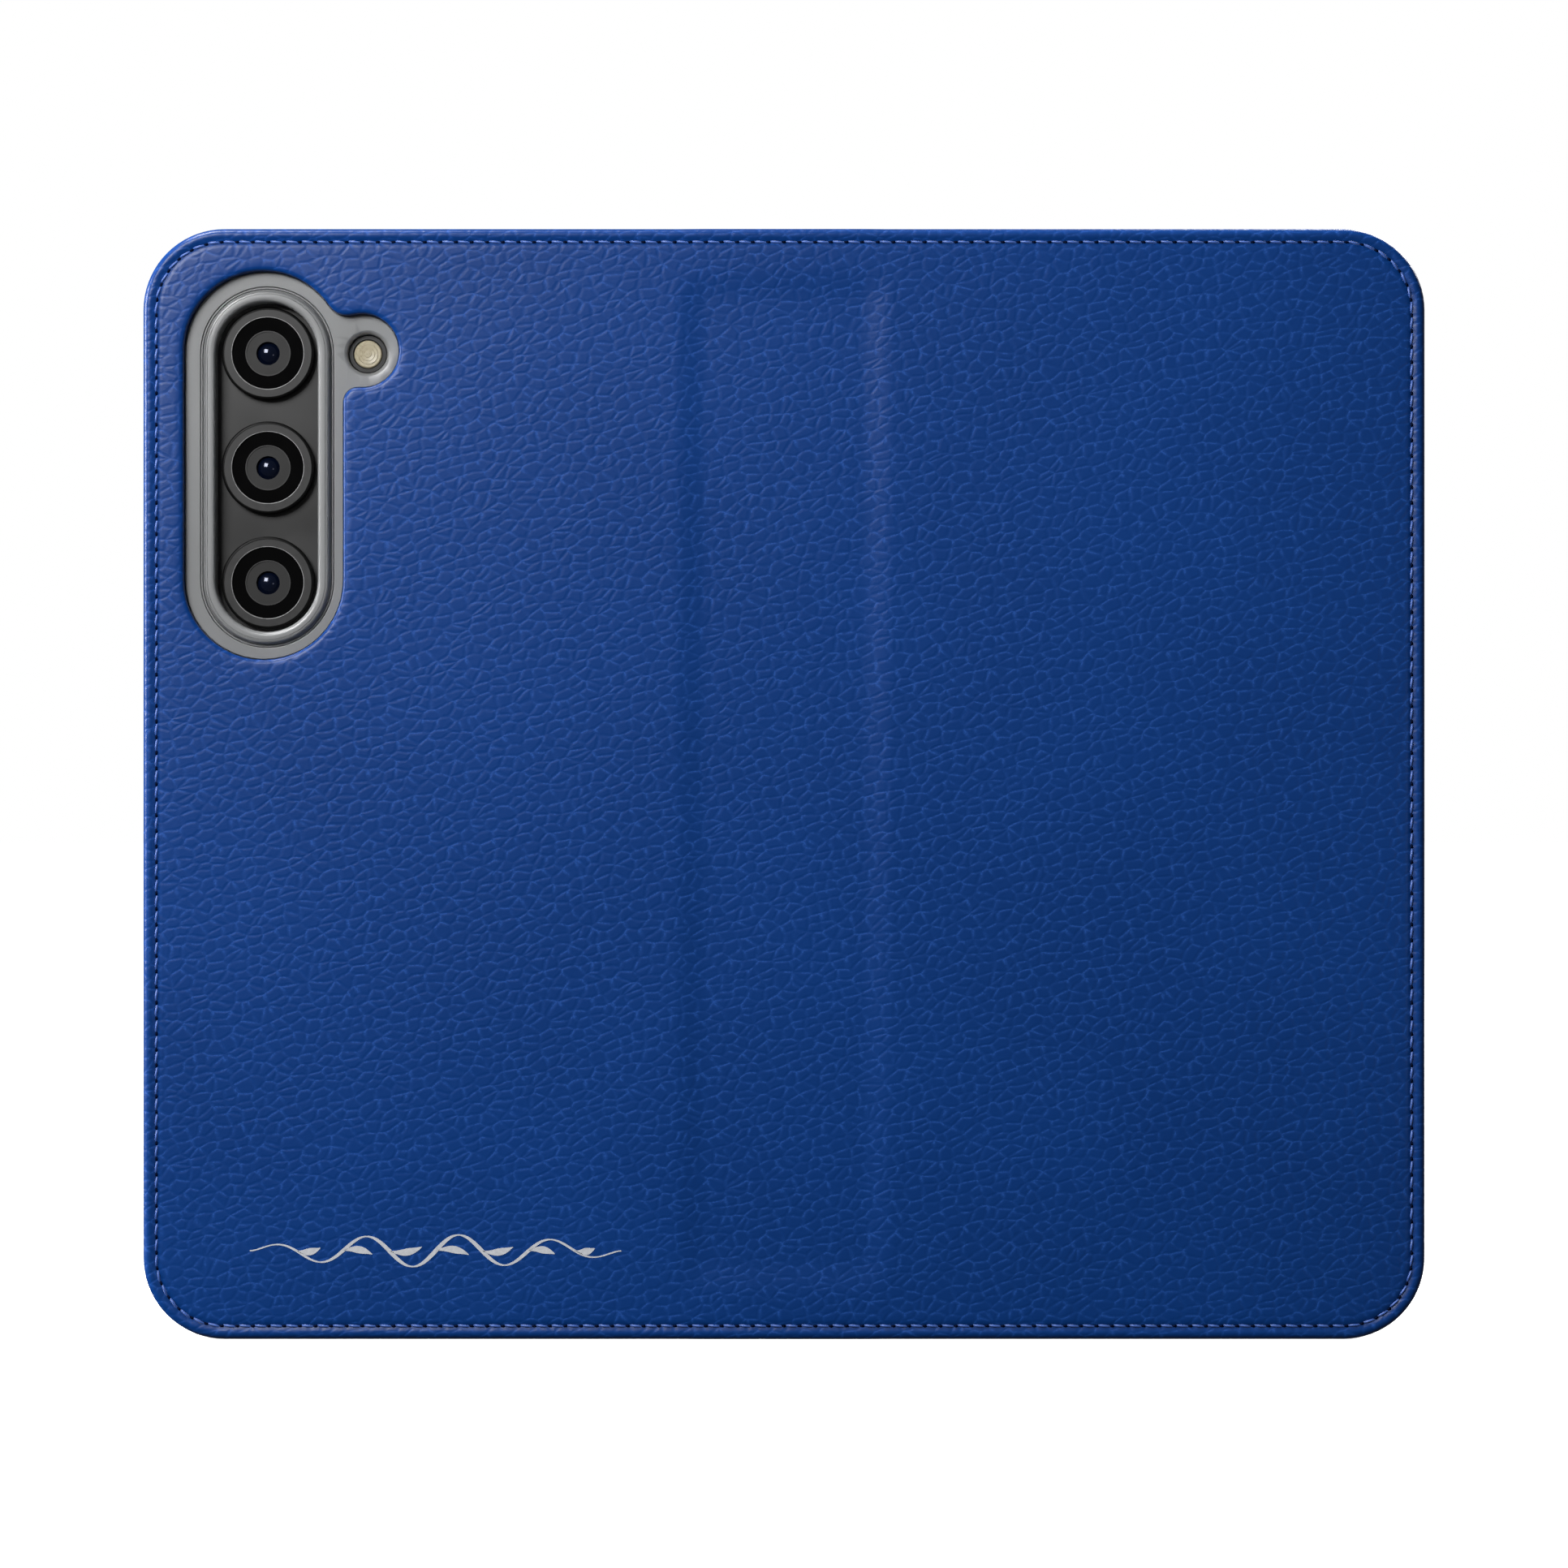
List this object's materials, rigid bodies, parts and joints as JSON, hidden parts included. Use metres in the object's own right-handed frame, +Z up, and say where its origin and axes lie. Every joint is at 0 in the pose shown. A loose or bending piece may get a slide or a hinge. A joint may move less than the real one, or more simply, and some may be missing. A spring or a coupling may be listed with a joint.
{
  "type": "phone wallet case",
  "caption": "Leather folio case that opens flat, with a clear tray holding a phone, a camera window in the back cover and card pockets inside the front cover.",
  "frame": {"origin": "middle of the lower face of the box round the open case: under the middle of the spine, at the covers' lower edge", "axes": "+X along the open width, from the back cover to the front cover; +Y from the covers' outside to their inside; +Z up the case's height"},
  "size_m": [0.1766, 0.0122, 0.153],
  "materials": {
    "leather": "royal blue pebbled leather, satin",
    "pocket": "royal blue fine-grained leather, satin",
    "lining": "navy microfibre, matt",
    "board": "grey binder's board",
    "clear": "clear plastic, glossy",
    "metal": "graphite anodised, satin",
    "graphite": "etched graphite glass, satin",
    "screen": "black screen glass, polished",
    "core": "dark block",
    "ring": "black anodised, polished bevel",
    "lens": "dark coated lens glass, polished",
    "flash": "pale yellow diffuser"
  },
  "bodies": {
    "back_cover": {"back_skin": "leather", "back_board": "board", "back_lining": "lining", "phone_tray": "clear", "phone_frame": "metal", "phone_back": "graphite", "phone_screen": "screen", "phone_core": "core", "lens_ring_top": "ring", "lens_ring_middle": "ring", "lens_ring_bottom": "ring", "lens_glass_top": "lens", "lens_glass_middle": "lens", "lens_glass_bottom": "lens", "flash_bezel": "ring", "flash_lens": "flash"},
    "spine": {"spine_skin": "leather", "spine_lining": "lining"},
    "front_cover": {"front_skin": "leather", "front_board": "board", "front_lining": "lining", "cash_pocket": "pocket", "card_pocket_1": "pocket", "card_pocket_2": "pocket", "card_pocket_3": "pocket"},
    "volume_key": {"volume_key": "metal"},
    "power_key": {"power_key": "metal"}
  },
  "joints": [
    {"name": "spine_fold", "type": "hinge", "parent": "back_cover", "child": "spine", "pos_m": [-0.008, -0.00525, 0.0765], "axis": [0, 0, -1], "range_deg": [-90, 90]},
    {"name": "cover_fold", "type": "hinge", "parent": "spine", "child": "front_cover", "pos_m": [0.008, -0.00525, 0.0765], "axis": [0, 0, -1], "range_deg": [-90, 90]},
    {"name": "volume_key_press", "type": "slide", "parent": "back_cover", "child": "volume_key", "axis": [1, 0, 0], "range_m": [0, 0.0004], "stiffness_N_per_m": 2000},
    {"name": "power_key_press", "type": "slide", "parent": "back_cover", "child": "power_key", "axis": [1, 0, 0], "range_m": [0, 0.0004], "stiffness_N_per_m": 2000}
  ]
}
